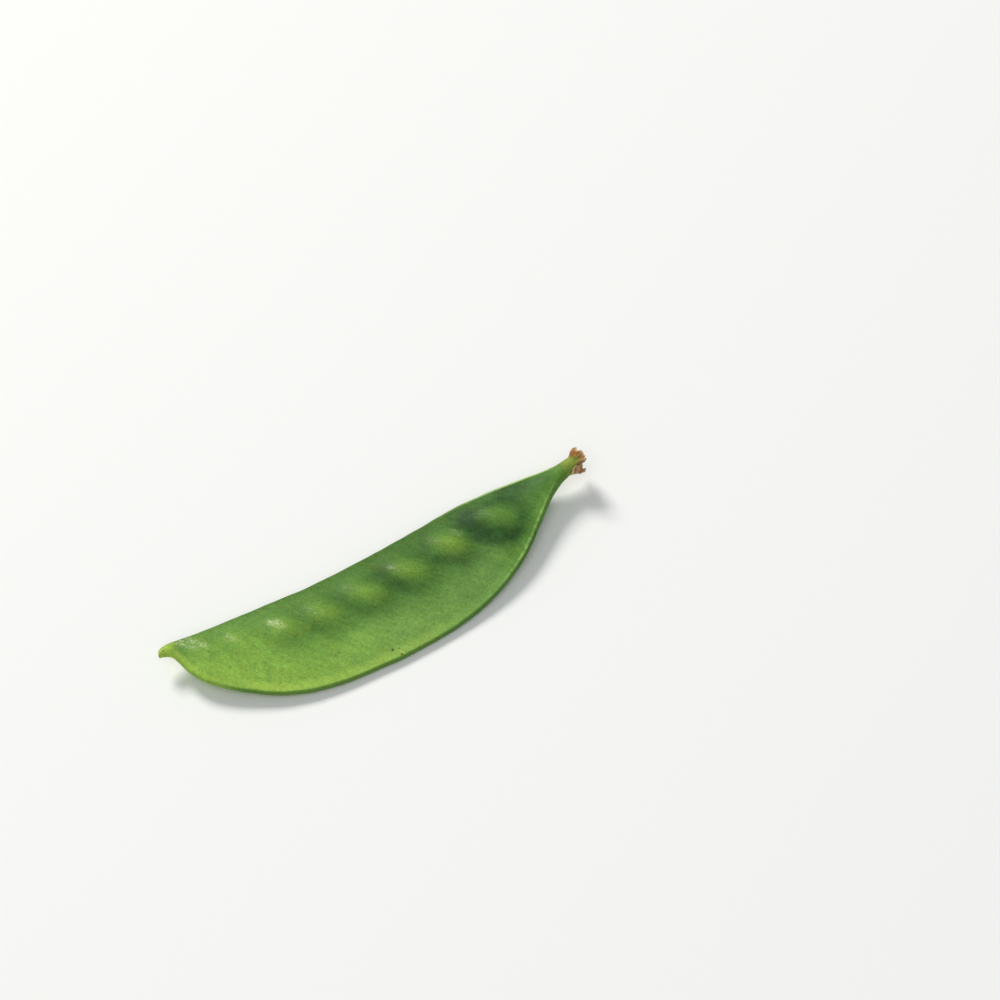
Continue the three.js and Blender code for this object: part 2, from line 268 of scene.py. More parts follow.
def pod_section(t):
    """Flat pod at each t: x, y, the section's middle y, height over the middle plane, and marks."""
    rows = np.repeat(rib_rows(t)[:, None, :], RING_SIDES, axis=1)
    angle = np.linspace(0, 2 * math.pi, RING_SIDES, endpoint=False)[None, :]
    middle = (rows[..., 0:2] + rows[..., 2:4]) / 2
    reach = (rows[..., 0:2] - rows[..., 2:4]) / 2
    x = middle[..., 0] + reach[..., 0] * np.cos(angle)
    y = middle[..., 1] + reach[..., 1] * np.cos(angle)
    w = (1 - np.cos(angle)) / 2
    half, blunt, radius = (rows[..., k] for k in (4, 5, 6))
    valve = half * (4 * w * (1 - w)) ** blunt
    from_straight = distance_to(straight_line, x, y)
    from_curved = distance_to(curved_line, x, y)
    edge = np.minimum(from_straight, from_curved)
    # The bead turns over at the seam and runs on level, so that no furrow is left behind it.
    bead = np.sqrt(radius**2 - np.maximum(radius - edge, 0) ** 2)
    shell = (valve**SEAM_BLEND + bead**SEAM_BLEND) ** (1 / SEAM_BLEND)

    upper = np.broadcast_to(np.sin(angle) > 0, x.shape)
    side = np.where(upper, 0.0, UNDERSIDE_AWAY)
    lift, dip, ridge = seed_marks(x, y)
    lift *= smooth(*SEED_FREE, edge)
    free = smooth(*RELIEF_FREE, edge)
    over_seeds = PUCKER_LEAST + (1 - PUCKER_LEAST) * smooth(*PUCKER_LIFT, lift)
    relief = WOBBLE * noise_field(x, y, side, WOBBLE_SIZE, WOBBLE_SEED)
    relief += PUCKER * noise_field(x, y, side, PUCKER_SIZE, PUCKER_SEED) * over_seeds
    height = shell + lift * np.where(upper, 1, UNDERSIDE_RISE) + relief * free
    height = np.where(np.abs(np.sin(angle)) < 1e-9, 0, np.where(upper, height, -height))

    # Near a seam the skin strays a little outwards or inwards, and the meeting line of the
    # valves is pressed in.
    grown = smooth(*GROWN_BEAD, radius)
    reach_length = np.hypot(reach[..., 0], reach[..., 1])[..., None]
    outwards = reach / reach_length * np.sign(np.cos(angle))[..., None]
    stray = WANDER * noise_field(x, y, 0.0, WANDER_SIZE, WANDER_SEED)
    stray = stray * (1 - smooth(0, WANDER_REACH, edge))
    stray = (stray - GROOVE * np.exp(-((height / GROOVE_WIDTH) ** 2))) * grown
    marks = {
        "from_straight": from_straight,
        "from_curved": from_curved,
        "along": x,
        "across": y,
        "swell": lift,
        # Painted shade of the dips and painted light of the ridges, kept for the finish.
        "dip": dip * free,
        "ridge": ridge * free,
        "upper": upper.astype(float),
    }
    x = x + outwards[..., 0] * stray
    y = y + outwards[..., 1] * stray
    return x, y, middle[..., 1], height, marks


flat_pod = pod_section(ring_places)
flat_size = [round(float(np.ptp(flat_pod[k])), 1) for k in (0, 1)]
print("flat pod:", flat_size[0], "x", flat_size[1], "mm")


# %% [markdown]
# ## How the pod lies
#
# A picked pod doesn't lie level. It rests on the lower seed swellings and the belly of the
# lower valve, so it is tipped a few degrees, its two ends are lifted by a slow bow, and the neck
# is turned a little. The lowest points are worn flat where they rest.

# %% Lay the pod down
TIP_OVER = math.radians(5.6)
BOW_MIDDLE = 46
BOW_POWER = 2.6
BEAK_LIFT = 1.8
NECK_LIFT = 2.6
NECK_TURN = math.radians(-9)
NECK_TURN_SPAN = (50, 90)
FOOT_DEPTH = 0.26


def lay_down(x, y, middle_y, height):
    """The flat pod's points, bowed, turned at the neck and tipped over."""
    towards_beak = x < BOW_MIDDLE
    end = np.where(towards_beak, 0, RIBS[-1, 0])
    lift = np.where(towards_beak, BEAK_LIFT, NECK_LIFT)
    bow = lift * np.abs((x - BOW_MIDDLE) / (end - BOW_MIDDLE)) ** BOW_POWER
    turn = NECK_TURN * smooth(*NECK_TURN_SPAN, x)
    offset = y - middle_y
    y1 = middle_y + offset * np.cos(turn) - height * np.sin(turn)
    z1 = bow + offset * np.sin(turn) + height * np.cos(turn)
    y2 = y1 * math.cos(TIP_OVER) - z1 * math.sin(TIP_OVER)
    z2 = y1 * math.sin(TIP_OVER) + z1 * math.cos(TIP_OVER)
    return np.stack([x, y2, z2], -1)


rings = lay_down(*flat_pod[:4])
marks = flat_pod[4]
neck_end = rings[-1].mean(axis=0)
neck_start = rings[np.searchsorted(ring_places, 1 - 2 / (len(RIBS) - 1))].mean(axis=0)
neck_axis = (neck_end - neck_start) / np.linalg.norm(neck_end - neck_start)
print("neck points along", neck_axis.round(3))

# %% Close the beak and set the pod on its feet
DOME_STEPS = 9
DOME_AXIS_RING = 6  # the dome points away from the middle of this ring
beak_middle = rings[0].mean(axis=0)
beak_out = beak_middle - rings[DOME_AXIS_RING].mean(axis=0)
beak_out /= np.linalg.norm(beak_out)
dome = []
for step in range(1, DOME_STEPS):
    a = (1 - step / DOME_STEPS) * math.pi / 2
    dome_ring = beak_middle + (rings[0] - beak_middle) * math.cos(a)
    dome.append(dome_ring + beak_out * BEAK_DOME * math.sin(a))
rings = np.concatenate([np.array(dome), rings])
marks = {name: np.concatenate([np.repeat(v[:1], len(dome), 0), v]) for name, v in marks.items()}
beak_tip = beak_middle + beak_out * BEAK_DOME

floor_level = rings[..., 2].min() + FOOT_DEPTH
rings[..., 2] = np.maximum(rings[..., 2], floor_level)
low_cad, high_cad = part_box("pod")
everything = np.vstack([rings.reshape(-1, 3), beak_tip[None]])
shift = np.array([
    low_cad.x / MM - everything[:, 0].min(),
    (low_cad.y + high_cad.y) / 2 / MM - (everything[:, 1].min() + everything[:, 1].max()) / 2,
    -floor_level,
])
print("shift into the frame, mm:", shift.round(2))


# %% [markdown]
# ## From rings to a mesh
#
# Blender takes a mesh as points and faces. All three pieces are rings of points, so one helper
# joins neighbouring rings with four-sided faces and closes an end with a fan. Marks such as the
# distance to a seam are stored on the points, so that a material can read them later.

# %% Mesh helpers
def skin_faces(ring_count, sides, wrap_rings=False):
    """Four-sided faces between rings, and from the last ring to the first if they wrap."""
    faces = []
    for i in range(ring_count if wrap_rings else ring_count - 1):
        here = i * sides
        there = ((i + 1) % ring_count) * sides
        for j in range(sides):
            k = (j + 1) % sides
            faces.append((here + j, here + k, there + k, there + j))
    return faces


def add_piece(name, points, faces, point_marks):
    """A smooth-shaded mesh object in the row frame, with its marks stored on its points."""
    mesh = bpy.data.meshes.new(name)
    mesh.from_pydata([tuple(p) for p in points], [], faces)
    for mark, values in point_marks.items():
        layer = mesh.attributes.new(mark, "FLOAT", "POINT")
        layer.data.foreach_set("value", np.asarray(values, np.float32))
    mesh.shade_smooth()
    mesh.validate()
    piece = bpy.data.objects.new(name, mesh)
    bpy.context.scene.collection.objects.link(piece)
    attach(piece, "root")
    solid = bmesh.new()
    solid.from_mesh(mesh)
    volume = solid.calc_volume(signed=True) / MM**3
    solid.free()
    counts = f"{len(mesh.vertices)} points, {len(mesh.polygons)} faces"
    print(name, counts + ",", round(volume, 1), "mm3")
    return piece


# %% The pod's skin
pod_points = np.vstack([rings.reshape(-1, 3), beak_tip, neck_end]) + shift
first_tip = rings.shape[0] * RING_SIDES
last_ring = first_tip - RING_SIDES
pod_faces = skin_faces(rings.shape[0], RING_SIDES)
for j in range(RING_SIDES):
    k = (j + 1) % RING_SIDES
    pod_faces.append((first_tip, k, j))
    pod_faces.append((first_tip + 1, last_ring + j, last_ring + k))
pod_marks = {
    name: np.concatenate([v.ravel(), [v[0].mean(), v[-1].mean()]]) for name, v in marks.items()
}
pod_skin = add_piece("pod_skin", pod_points * MM, pod_faces, pod_marks)
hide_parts("pod")


# %% [markdown]
# ## The calyx
#
# The calyx held the flower. By the time a pod is picked it has withered to a ragged, pleated
# bell of five lobes, with one lobe curled right back. It could be cut from flat sheets and
# bent, but a wall swept round the neck's axis is simpler: at each angle a short line climbs out
# of the neck, opens, and bends at its tip, and the lobes only change how long that line is and
# how far it bends. Where the wall starts, a thin collar runs back over the neck, because the
# two grew together there.

# %% The shape of the calyx
CALYX_BACK = -1.0
CALYX_WALL = 0.62
CALYX_HOLE = 1.06
CALYX_FLARE = math.radians(33)
CALYX_NOTCH = 2.4
# Angle round the axis (0 towards the straight seam, 90 up), length, half width, share of the
# flare, bend of the tip, and where along the wall that bend starts and ends.
CALYX_LOBES = [
    (28, 3.3, 42, 1.0, -38, 1.6, 3.3),
    (100, 3.6, 37, 1.0, -30, 1.6, 3.6),
    (168, 4.7, 42, 0.2, 172, 1.3, 2.8),
    (228, 2.7, 26, 0.5, -10, 1.6, 2.8),
    (300, 3.1, 44, 1.0, -30, 1.6, 3.1),
]
CALYX_LOBE_ROUND = 0.4
CALYX_BEND_ROUND = 0.7
CALYX_BEND_START = 1.6  # where a notch between two lobes would start to bend
CURLED_LOBE = 168
CURLED_HALF_WIDTH = 38
CURLED_ROUND = 0.6  # how the curled lobe grows longer from its sides to its middle
CURLED_TURN = 4  # how soon it is turned right back
CALYX_FLARE_SPAN = (0.2, 1.4)
CALYX_CREASE_SPAN = (0.8, 2.4)
CALYX_RIM_WAVES = [(13, 0.08, 1), (23, 0.06, 0)]
CALYX_OVAL_WAVES = [(2, 0.16, 0.6)]
CALYX_CREASE_WAVES = [(9, 0.1, 0), (3, 0.1, 1)]
CALYX_VEIN_WAVES = [(41, 0.028, 0.4), (67, 0.018, 2.0)]  # the fine veins of the dry wall
CALYX_RIM_WALL = 0.16  # the wall thins to paper at the rim
CALYX_TEARS = [(0.9, 0.14), (0.35, 0.08)]  # size and depth of the tears along the rim
CALYX_CRUMPLES = [(0.9, 0.16), (0.4, 0.1)]  # size and height of the crumples in the wall
CALYX_CRUMPLE_SPAN = (0.7, 2.6)
CALYX_CRUMPLED = (0.6, 0.5)  # share of the crumples that every lobe has, and the curled one's extra
CALYX_VEIN_SPAN = (0.3, 1.2)
CALYX_THIN_SPAN = (0.3, 2.4)  # where along the wall it thins towards its rim
CALYX_TEAR_RING = 2.3  # radius of the circle along which the tears take their noise
CALYX_TEAR_SEED = 2.2
CALYX_CRUMPLE_SEED = 7.9
CALYX_SIDES = 720
CALYX_STEPS = 30
# How far the green of the neck runs out along the wall: angle, millimetres.
CALYX_GREEN = [
    (0, 0.3),
    (40, 0.7),
    (75, 1.5),
    (105, 2.1),
    (135, 1.6),
    (165, 0.3),
    (250, 0.4),
    (360, 0.3),
]


def waves(table, angle):
    """Sum of waves round the axis, each (count, size, phase)."""
    return sum(size * np.sin(count * angle + phase) for count, size, phase in table)


def degrees_from(angle, degrees):
    """From -180 to 180, round the axis."""
    return (degrees - angle + 180) % 360 - 180


def lobe_at(degrees):
    """The wall at an angle: its length, share of the flare, and its bend with where it lies."""
    share = 0
    found = (CALYX_NOTCH, 1, 0, CALYX_BEND_START, CALYX_NOTCH)
    for angle, length, half_width, flare, bend, start, end in CALYX_LOBES:
        near = max(0, 1 - (degrees_from(angle, degrees) / half_width) ** 2)
        if near > share:
            share = near
            if angle == CURLED_LOBE:
                longer = near**CURLED_ROUND
                turned = min(1, near * CURLED_TURN)
            else:
                longer = near**CALYX_LOBE_ROUND
                turned = near**CALYX_BEND_ROUND
            here = CALYX_NOTCH + (length - CALYX_NOTCH) * longer
            found = (here, 1 + (flare - 1) * turned, math.radians(bend) * turned, start, end)
    return found


calyx_degrees = np.arange(CALYX_SIDES) / CALYX_SIDES * 360
a = np.radians(calyx_degrees)
length, flare, bend, bend_start, bend_end = np.array([lobe_at(d) for d in calyx_degrees]).T
length = length + waves(CALYX_RIM_WAVES, a)
for size, depth in CALYX_TEARS:
    tear_y = CALYX_TEAR_RING * np.cos(a)
    tear_z = CALYX_TEAR_RING * np.sin(a)
    length += depth * noise_field(tear_y, tear_z, 0.0, size, CALYX_TEAR_SEED)
shortest = round(float(length.min()), 1)
longest = round(float(length.max()), 1)
print("calyx wall from", shortest, "to", longest, "mm long")

# %% The calyx wall, in columns from the neck to the rim
a = a[:, None]
share = np.linspace(0, 1, CALYX_STEPS + 1)[None, :]
out = share * length[:, None]
oval = 1 + waves(CALYX_OVAL_WAVES, a)
slope = CALYX_FLARE * flare[:, None] * oval * smooth(*CALYX_FLARE_SPAN, out)
slope = slope + bend[:, None] * smooth(bend_start[:, None], bend_end[:, None], out)
step = length[:, None] / CALYX_STEPS
step_x = step * np.cos(slope)
step_r = step * np.sin(slope)
wall_x = CALYX_BACK + np.cumsum(step_x, axis=1) - step_x
wall_r = CALYX_HOLE + CALYX_WALL / 2 + np.cumsum(step_r, axis=1) - step_r
wall_r = wall_r + waves(CALYX_CREASE_WAVES, a) * smooth(*CALYX_CREASE_SPAN, out)
wall_r = wall_r + waves(CALYX_VEIN_WAVES, a) * smooth(*CALYX_VEIN_SPAN, out)
wall_y = wall_r * np.cos(a)
wall_z = wall_r * np.sin(a)
crumple = 0
for size, depth in CALYX_CRUMPLES:
    crumple = crumple + depth * noise_field(wall_x, wall_y, wall_z, size, CALYX_CRUMPLE_SEED)
from_curled = degrees_from(CURLED_LOBE, calyx_degrees) / CURLED_HALF_WIDTH
curled = np.exp(-(from_curled**2))[:, None]
crumpled = CALYX_CRUMPLED[0] + CALYX_CRUMPLED[1] * curled
crumple = crumple * smooth(*CALYX_CRUMPLE_SPAN, out) * crumpled
wall = CALYX_WALL + (CALYX_RIM_WALL - CALYX_WALL) * smooth(*CALYX_THIN_SPAN, out)

outer_off = CALYX_WALL / 2 + crumple
inner_off = CALYX_WALL / 2 - wall + crumple
outer_x = wall_x - outer_off * np.sin(slope)
outer_r = wall_r + outer_off * np.cos(slope)
inner_x = wall_x - inner_off * np.sin(slope)
inner_r = wall_r + inner_off * np.cos(slope)

# %% The collar over the neck
side = rings[-1][0] - neck_end
side -= neck_axis * side.dot(neck_axis)
side /= np.linalg.norm(side)
up = np.cross(neck_axis, side)
stem_frame = np.stack([neck_axis, side, up])
COLLAR_X = np.array([-2.8, -2.78, -2.6, -2.35, -2.1, -1.85, -1.6, -1.4, -1.2])
COLLAR_HELD = -1.95  # the neck's shoulder starts to turn inwards here
COLLAR_LAP = 0.028  # how far the collar's outer and inner faces stand off the neck
COLLAR_SKIN = 0.012
COLLAR_WALL = 0.14  # its thickness past the shoulder, where it stands free
NECK_RINGS = 40  # how many of the pod's last rings its neck is measured on


def neck_radius(x, degrees):
    """Radius of the pod's skin round the neck's axis, at some x and at each angle."""
    places = (rings[-NECK_RINGS:] - neck_end) @ stem_frame.T
    ring_x = []
    ring_r = []
    for place in places:
        around = np.degrees(np.arctan2(place[:, 2], place[:, 1]))
        ring_x.append(np.interp(degrees, around, place[:, 0], period=360))
        ring_r.append(np.interp(degrees, around, np.hypot(place[:, 1], place[:, 2]), period=360))
    columns = zip(np.array(ring_x).T, np.array(ring_r).T)
    return np.array([np.interp(x, column_x, column_r) for column_x, column_r in columns])


def on_stem(points):
    """From x along the neck, y towards the straight seam and z up, to the row frame in metres."""
    return (np.asarray(points) @ stem_frame + neck_end + shift) * MM


collar_r = np.stack([neck_radius(min(x, COLLAR_HELD), calyx_degrees) for x in COLLAR_X], axis=1)
joined = smooth(COLLAR_X[1], CALYX_BACK, COLLAR_X)[None, :]
collar_outer = (collar_r + COLLAR_LAP) * (1 - joined) + (CALYX_HOLE + CALYX_WALL) * joined
free_collar = COLLAR_X[None, :] > COLLAR_HELD
collar_inner = np.where(free_collar, collar_outer - COLLAR_WALL, collar_r + COLLAR_SKIN)
collar_x = np.broadcast_to(COLLAR_X[None, :], collar_outer.shape)

loop_x = np.hstack([collar_x, outer_x, inner_x[:, ::-1], collar_x[:, ::-1]])
loop_r = np.hstack([collar_outer, outer_r, inner_r[:, ::-1], collar_inner[:, ::-1]])
calyx_points = np.stack([loop_x, loop_r * np.cos(a), loop_r * np.sin(a)], -1)
collar_out = collar_x - CALYX_BACK
green_reach = np.interp(calyx_degrees, *np.array(CALYX_GREEN).T)[:, None]
loop_out = np.hstack([collar_out, out, out[:, ::-1], collar_out[:, ::-1]])
inner_side = np.hstack([0 * collar_x, 0 * out, 0 * out + 1, 0 * collar_x + 1])
calyx_marks = {
    "out": loop_out,
    "to_rim": loop_out - length[:, None],
    "inner": inner_side,
    "past_green": loop_out - green_reach,
    "curled": np.broadcast_to(curled, loop_out.shape),
    "round_y": np.broadcast_to(np.cos(a), loop_out.shape),
    "round_z": np.broadcast_to(np.sin(a), loop_out.shape),
}
calyx_faces = [face[::-1] for face in skin_faces(CALYX_SIDES, loop_x.shape[1], wrap_rings=True)]
calyx_bell = add_piece(
    "calyx_bell",
    on_stem(calyx_points.reshape(-1, 3)),
    calyx_faces,
    {name: values.ravel() for name, values in calyx_marks.items()},
)
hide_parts("calyx")


# %% [markdown]
# ## The stub of the stalk
#
# The stalk snapped inside the calyx, so only a short fibrous stub is left. It is a plain round
# section drawn out along the axis, ridged along its length, with a torn end.

# %% The stalk stub
STALK_GAP = 0.32
STALK_RADIUS = 0.78
STALK_LENGTH = 2.1
STALK_TEAR_WAVES = [(3, 0.2, 0), (7, 0.1, 0), (31, 0.06, 0)]
STALK_RIDGE_WAVES = [(11, 0.025, 0.5), (19, 0.02, 0)]
STALK_SIDES = 132
# Along the stub, and the share of the radius there. The last two rings are its torn end.
STALK_PROFILE = [
    (0, 0.85),
    (0.2, 1.0),
    (STALK_LENGTH * 0.5, 0.94),
    (STALK_LENGTH - 0.35, 1.0),
    (STALK_LENGTH, 0.8),
    (STALK_LENGTH - 0.12, 0.45),
]
STALK_TORN_RINGS = 2
STALK_HOLLOW = 0.2  # how far the middle of the torn end lies inside
stalk_points = []
for i, (x, share) in enumerate(STALK_PROFILE):
    is_torn = i >= len(STALK_PROFILE) - STALK_TORN_RINGS
    for j in range(STALK_SIDES):
        a = j / STALK_SIDES * 2 * math.pi
        torn = waves(STALK_TEAR_WAVES, a) if is_torn else 0
        r = STALK_RADIUS * share * (1 + waves(STALK_RIDGE_WAVES, a))
        stalk_points.append((STALK_GAP + x + torn, r * math.cos(a), r * math.sin(a)))
stalk_faces = skin_faces(len(STALK_PROFILE), STALK_SIDES)
stalk_end = len(stalk_points)
stalk_points += [(STALK_GAP, 0, 0), (STALK_GAP + STALK_LENGTH - STALK_HOLLOW, 0, 0)]
for j in range(STALK_SIDES):
    k = (j + 1) % STALK_SIDES
    stalk_faces.append((stalk_end, k, j))
    stalk_faces.append((stalk_end + 1, stalk_end - STALK_SIDES + j, stalk_end - STALK_SIDES + k))
stalk_stub = add_piece("stalk_stub", on_stem(stalk_points), stalk_faces, {})
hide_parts("stalk")


# %% [markdown]
# ## Writing materials as sums
#
# A material is a graph of nodes, and a graph is hard to read as a list of links. Most of it is
# arithmetic, so one small class wraps a socket and turns +, -, * and ** into Math nodes. Colours
# go through Mix nodes, and every other node comes from one method.

# %% A socket that does sums
class Shade:
    """A node's output socket that can be added, multiplied and so on."""

    def __init__(self, finish, socket):
        self.finish = finish
        self.socket = socket

    def math(self, operation, *others):
        inputs = dict(enumerate([self, *others]))
        return self.finish.node("ShaderNodeMath", {"operation": operation}, inputs)

    def __add__(self, other):
        return self.math("ADD", other)

    def __sub__(self, other):
        return self.math("SUBTRACT", other)

    def __rsub__(self, other):
        return self.finish.value(other).math("SUBTRACT", self)

    def __mul__(self, other):
        return self.math("MULTIPLY", other)

    def __pow__(self, other):
        return self.math("POWER", other)

    __radd__ = __add__
    __rmul__ = __mul__


class Finish:
    """One material while it is being written."""

    def __init__(self, name):
        self.material = bpy.data.materials.new(name)
        self.material.use_nodes = True
        self.nodes = self.material.node_tree.nodes
        self.links = self.material.node_tree.links
        self.nodes.clear()

    def node(self, kind, settings=None, inputs=None, output=0):
        """Any node: settings first, then its inputs by name or number. Gives one output."""
        made = self.nodes.new(kind)
        for key, value in (settings or {}).items():
            if key == "stops":
                self.set_stops(made.color_ramp.elements, value)
            else:
                setattr(made, key, value)
        for key, value in (inputs or {}).items():
            if isinstance(value, Shade):
                self.links.new(value.socket, made.inputs[key])
            else:
                made.inputs[key].default_value = value
        return Shade(self, made.outputs[output]) if made.outputs else None

    def set_stops(self, elements, stops):
        """Stops of a colour ramp, each (position, colour)."""
        while len(elements) < len(stops):
            elements.new(1.0)
        for element, (position, colour) in zip(elements, stops):
            element.position = position
            element.color = colour

    def value(self, number):
        """A number as a node's output, unless it is one already."""
        if isinstance(number, Shade):
            return number
        shade = self.node("ShaderNodeValue")
        shade.socket.default_value = number
        return shade

    def mark(self, name):
        """A mark that was stored on the mesh's points."""
        return self.node("ShaderNodeAttribute", {"attribute_name": name}, output="Fac")

    def millimetres(self):
        """The place on the object, in millimetres."""
        place = self.node("ShaderNodeTexCoord", output="Object")
        scaled = {0: place, "Scale": 1 / MM}
        return self.node("ShaderNodeVectorMath", {"operation": "SCALE"}, scaled)

    def vector(self, x, y, z):
        """Three numbers joined into one place or direction."""
        return self.node("ShaderNodeCombineXYZ", inputs={0: x, 1: y, 2: z})

    def noise(self, place, size, detail=3, roughness=0.5, distortion=0.0):
        """Noise from 0 to 1 with features of a size in millimetres."""
        inputs = {"Vector": place, "Scale": 1 / size, "Detail": detail}
        inputs.update({"Roughness": roughness, "Distortion": distortion})
        return self.node("ShaderNodeTexNoise", inputs=inputs)

    def ramp(self, value, start, end, low=0.0, high=1.0, kind="SMOOTHSTEP"):
        """From low to high as value goes from start to end, smoothly unless told otherwise."""
        inputs = {"Value": value, "From Min": start, "From Max": end}
        inputs.update({"To Min": low, "To Max": high})
        return self.node("ShaderNodeMapRange", {"interpolation_type": kind}, inputs)

    def scale_of(self, value, stops):
        """Colour found on a scale of (position, colour) stops."""
        return self.node("ShaderNodeValToRGB", {"stops": stops}, {"Fac": value})

    def brighten(self, colour, factor):
        """A colour times a number."""
        inputs = {0: colour, "Scale": factor}
        return self.node("ShaderNodeVectorMath", {"operation": "SCALE"}, inputs)

    def mix(self, first, second, share):
        """Colour between two colours."""
        inputs = {"Factor": share, 6: first, 7: second}
        return self.node("ShaderNodeMix", {"data_type": "RGBA"}, inputs, output=2)

    def bump(self, height, distance, under=None):
        """A bump whose height of 1 stands out by a distance in millimetres."""
        inputs = {"Height": height, "Distance": distance * MM, "Strength": 1.0}
        if under is not None:
            inputs["Normal"] = under
        return self.node("ShaderNodeBump", inputs=inputs)

    def surface(self, **inputs):
        """Ends the material in a Principled shader."""
        named = {key.replace("_", " "): value for key, value in inputs.items()}
        shader = self.node("ShaderNodeBsdfPrincipled", inputs=named)
        self.node("ShaderNodeOutputMaterial", inputs={"Surface": shader})
        return self.material


def srgb(red, green, blue):
    """A colour as it is picked on a screen, 0 to 255, turned into the linear one Blender uses."""

    def linear(c):
        c = c / 255
        return c / 12.92 if c <= 0.04045 else ((c + 0.055) / 1.055) ** 2.4

    return (linear(red), linear(green), linear(blue), 1.0)


print("shader helpers ready")


# %% [markdown]
# ## The finish of the pod
#
# A fresh pod is satin and slightly waxy, and its green is never one green. How deep it is,
# with painted shade and light in it, can be told as one number from 0 to 1. It grows from the
# beak to the neck, partly as the pod's own deeper green and partly as painted shade. It is less
# along the belly, and on the ridges of the swellings, where light is painted. It is more in the
# dips beside them and in a band a few millimetres in from the straight seam, where shade is
# painted. One scale of greens then turns that number into a colour. On top of it come the
# yellow of the beak, the painted light of the ridges in yellow, and a yellower band by the
# curved seam that is also lightened as painted light. There is a pale line by the straight
# seam that is partly painted highlight, a painted highlight line by the curved seam, painted
# shade on its outer edge, and painted light under the neck. Then come the plain green of the
# neck, a few brown marks, and flakes of wax painted pale where glints fall.

# %% Colours and blemishes
GREENS = [
    (0.0, srgb(146, 187, 79)),
    (0.27, srgb(126, 169, 73)),
    (0.55, srgb(102, 143, 62)),
    (0.78, srgb(80, 119, 51)),
    (1.0, srgb(42, 76, 34)),
]
NECK_GREEN = srgb(97, 136, 56)
LIT_RIDGE_YELLOW = srgb(148, 176, 60)
OLIVE = srgb(132, 158, 58)
COOL_GREEN = srgb(78, 132, 66)
BELLY_PALE = srgb(160, 196, 128)
BEAK_YELLOW = srgb(178, 208, 82)
BEAK_TIP_BROWN = srgb(120, 96, 50)
STRAIGHT_SEAM_PALE_AND_HIGHLIGHT = srgb(168, 198, 122)
CURVED_SEAM_HIGHLIGHT = srgb(168, 200, 116)
CURVED_SEAM_YELLOW = srgb(168, 190, 84)
CURVED_SEAM_SHADE = srgb(58, 100, 42)
SPOT_BROWN = srgb(66, 44, 22)
WAX_PALE_AND_GLINT = srgb(208, 226, 166)
LEAF_SCATTER = (0.6, 1.0, 0.25)  # light goes furthest through green tissue as green
MOTTLE_SIZE = 0.75
SPECKLE_SIZE = 0.3
JOINING = (83.5, 86.6)  # where along the pod its own greens give way to the neck's
VEINWARDS = (0.64, -0.77)  # direction of the faint veins, as x and y, and the way across them
CROSSWISE = (0.77, 0.64)
VALVES_APART = 20  # noise is taken this far apart for the two valves
# Small brown marks on the upper valve: x, y, radius in millimetres, strength.
BLEMISHES = [
    (0.5, -0.15, 0.24, 0.6),
    (39.7, -19.3, 0.25, 0.7),
    (41.0, -19.6, 0.2, 0.6),
    (40.9, -20.8, 0.22, 0.75),
    (17.6, -15.9, 0.16, 0.5),
    (19.1, -16.4, 0.14, 0.5),
    (54.5, -11.8, 0.14, 0.45),
    (66.8, 0.9, 0.18, 0.5),
    (28.9, -13.2, 0.13, 0.4),
]
# Where the wax on the upper valve is thick enough to flake: x, y, radius in millimetres,
# strength. A patch is drawn out along the veins. The patches lie where glints fall and are
# painted pale as well, so they are partly a painted highlight.
FLAKE_SHAPE = (0.65, 1.25)
FLAKED_AND_GLINTING = [
    (4.1, -0.1, 1.5, 0.75),
    (6.2, -0.6, 1.5, 0.8),
    (5.4, -2.0, 1.3, 0.6),
    (7.7, -2.5, 1.2, 1.0),
    (13.0, -3.6, 1.6, 0.5),
    (22.0, -4.8, 2.0, 0.9),
    (30.0, -6.0, 1.8, 0.25),
    (47.4, -4.6, 1.6, 0.2),
    (61.8, -2.9, 1.7, 0.35),
    (68.4, -0.9, 1.7, 0.16),
]


